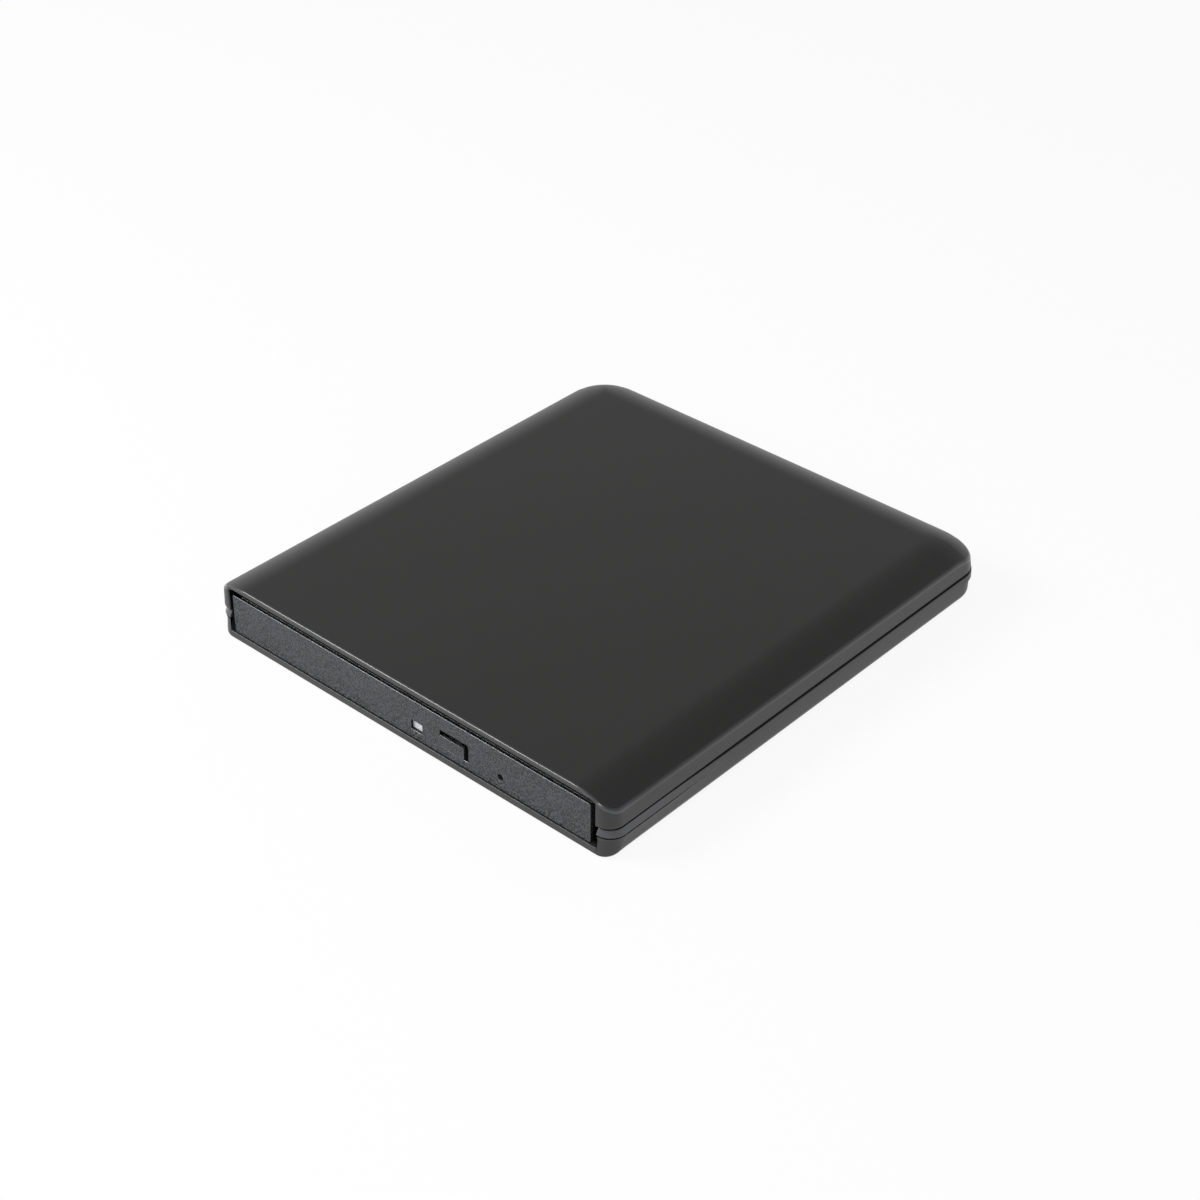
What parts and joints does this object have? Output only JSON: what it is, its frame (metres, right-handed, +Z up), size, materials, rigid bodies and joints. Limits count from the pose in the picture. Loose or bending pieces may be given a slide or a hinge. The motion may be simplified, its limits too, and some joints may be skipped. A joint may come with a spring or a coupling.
{
  "type": "external optical disc drive",
  "caption": "Slim external disc drive: a rolled-edge dark grey case, a full-width bezel with an eject button and a drawer that slides out on telescopic rails.",
  "frame": {"origin": "middle of the case's plan, on the surface that the rubber feet stand on", "axes": "+X to the right of someone facing the bezel, +Y to the back, +Z up"},
  "size_m": [0.141, 0.1544, 0.0184],
  "materials": {
    "case_plastic": "fine satin grain, dark grey",
    "bezel_plastic": "fine sparkle grain, dark grey",
    "light_plastic": "translucent",
    "foot_rubber": "matt",
    "foam": "foam",
    "zinc_steel": "plated sheet",
    "tray_plastic": "moulded black",
    "cover_paint": "black coated sheet",
    "screw_steel": "machine screws and pins",
    "motor_steel": "drawn steel",
    "hub_plastic": "black acetal",
    "lens_glass": "coated lens",
    "board_green": "circuit board",
    "chip_black": "chips",
    "flex_amber": "polyimide ribbon"
  },
  "bodies": {
    "housing": {"bottom_cover": "case_plastic", "top_cover": "case_plastic", "rubber_feet": "foot_rubber", "lower_foam_pads": "foam", "upper_foam_pads": "foam", "drive_pan": "zinc_steel", "drive_lid": "zinc_steel", "rail_guide_left": "tray_plastic", "rail_guide_right": "tray_plastic", "main_board": "board_green", "main_board_chips": "chip_black", "drive_connector": "tray_plastic", "flex_cable": "flex_amber", "catch_pin": "screw_steel", "bridge_board": "board_green", "bridge_connector": "tray_plastic", "bridge_chips": "chip_black", "plug_socket": "zinc_steel", "socket_tongue": "tray_plastic"},
    "rail_left": {"slide_rail_left": "zinc_steel"},
    "rail_right": {"slide_rail_right": "zinc_steel"},
    "drawer": {"tray": "tray_plastic", "bezel": "bezel_plastic", "led_window": "light_plastic", "tray_board": "board_green", "eject_switch": "tray_plastic", "tray_shield": "zinc_steel", "traverse_cover": "cover_paint", "traverse_chassis": "zinc_steel", "rubber_dampers": "foot_rubber", "guide_shafts": "screw_steel", "shaft_holders": "tray_plastic", "spindle_base": "zinc_steel", "stator": "motor_steel", "feed_motor": "motor_steel", "feed_bracket": "zinc_steel", "latch_pivot": "screw_steel", "latch_solenoid": "chip_black", "ejector_plunger": "screw_steel", "ejector_guide": "tray_plastic", "ejector_spring": "screw_steel"},
    "spindle": {"rotor_cup": "motor_steel", "turntable_hub": "hub_plastic", "friction_ring": "foot_rubber"},
    "claw_1": {"hub_claw_1": "hub_plastic"},
    "claw_2": {"hub_claw_2": "hub_plastic"},
    "claw_3": {"hub_claw_3": "hub_plastic"},
    "pickup": {"pickup_body": "cover_paint", "lens_wires": "screw_steel", "feed_follower": "hub_plastic"},
    "lens": {"lens_holder": "hub_plastic", "objective_lens": "lens_glass"},
    "feed_screw": {"feed_screw": "screw_steel"},
    "eject_button": {"eject_button": "bezel_plastic"},
    "latch_hook": {"latch_hook": "hub_plastic"}
  },
  "joints": [
    {"name": "tray_slide", "type": "slide", "parent": "housing", "child": "drawer", "axis": [0, -1, 0], "range_m": [0, 0.125]},
    {"name": "rail_left_slide", "type": "slide", "parent": "housing", "child": "rail_left", "axis": [0, -1, 0], "range_m": [0, 0.0625]},
    {"name": "rail_right_slide", "type": "slide", "parent": "housing", "child": "rail_right", "axis": [0, -1, 0], "range_m": [0, 0.0625]},
    {"name": "turntable_spin", "type": "hinge", "parent": "drawer", "child": "spindle", "pos_m": [0, -0.01365, 0.01], "axis": [0, 0, 1], "continuous": true},
    {"name": "pickup_feed", "type": "slide", "parent": "drawer", "child": "pickup", "axis": [-0.6691, -0.7431, 0], "range_m": [0, 0.0345]},
    {"name": "feed_screw_spin", "type": "hinge", "parent": "drawer", "child": "feed_screw", "pos_m": [-0.03286, -0.02443, 0.0068], "axis": [-0.6691, -0.7431, 0], "continuous": true},
    {"name": "lens_focus", "type": "slide", "parent": "pickup", "child": "lens", "axis": [0, 0, 1], "range_m": [-0.0004, 0.0004], "stiffness_N_per_m": 20},
    {"name": "button_press", "type": "slide", "parent": "drawer", "child": "eject_button", "axis": [0, 1, 0], "range_m": [0, 0.0008], "stiffness_N_per_m": 400},
    {"name": "latch_swing", "type": "hinge", "parent": "drawer", "child": "latch_hook", "pos_m": [0.036, 0.034, 0.0061], "axis": [0, 0, 1], "range_deg": [-14, 0], "stiffness_Nm_per_rad": 0.01},
    {"name": "claw_1_slide", "type": "slide", "parent": "spindle", "child": "claw_1", "axis": [1, 0, 0], "range_m": [-0.0004, 0], "stiffness_N_per_m": 150},
    {"name": "claw_2_slide", "type": "slide", "parent": "spindle", "child": "claw_2", "axis": [-0.5, 0.866, 0], "range_m": [-0.0004, 0], "stiffness_N_per_m": 150},
    {"name": "claw_3_slide", "type": "slide", "parent": "spindle", "child": "claw_3", "axis": [-0.5, -0.866, 0], "range_m": [-0.0004, 0], "stiffness_N_per_m": 150}
  ],
  "couplings": [
    {"joint": "rail_left_slide", "follows": "tray_slide", "ratio": 0.5},
    {"joint": "rail_right_slide", "follows": "tray_slide", "ratio": 0.5},
    {"joint": "feed_screw_spin", "follows": "pickup_feed", "rad_per_m": 2094.4}
  ]
}
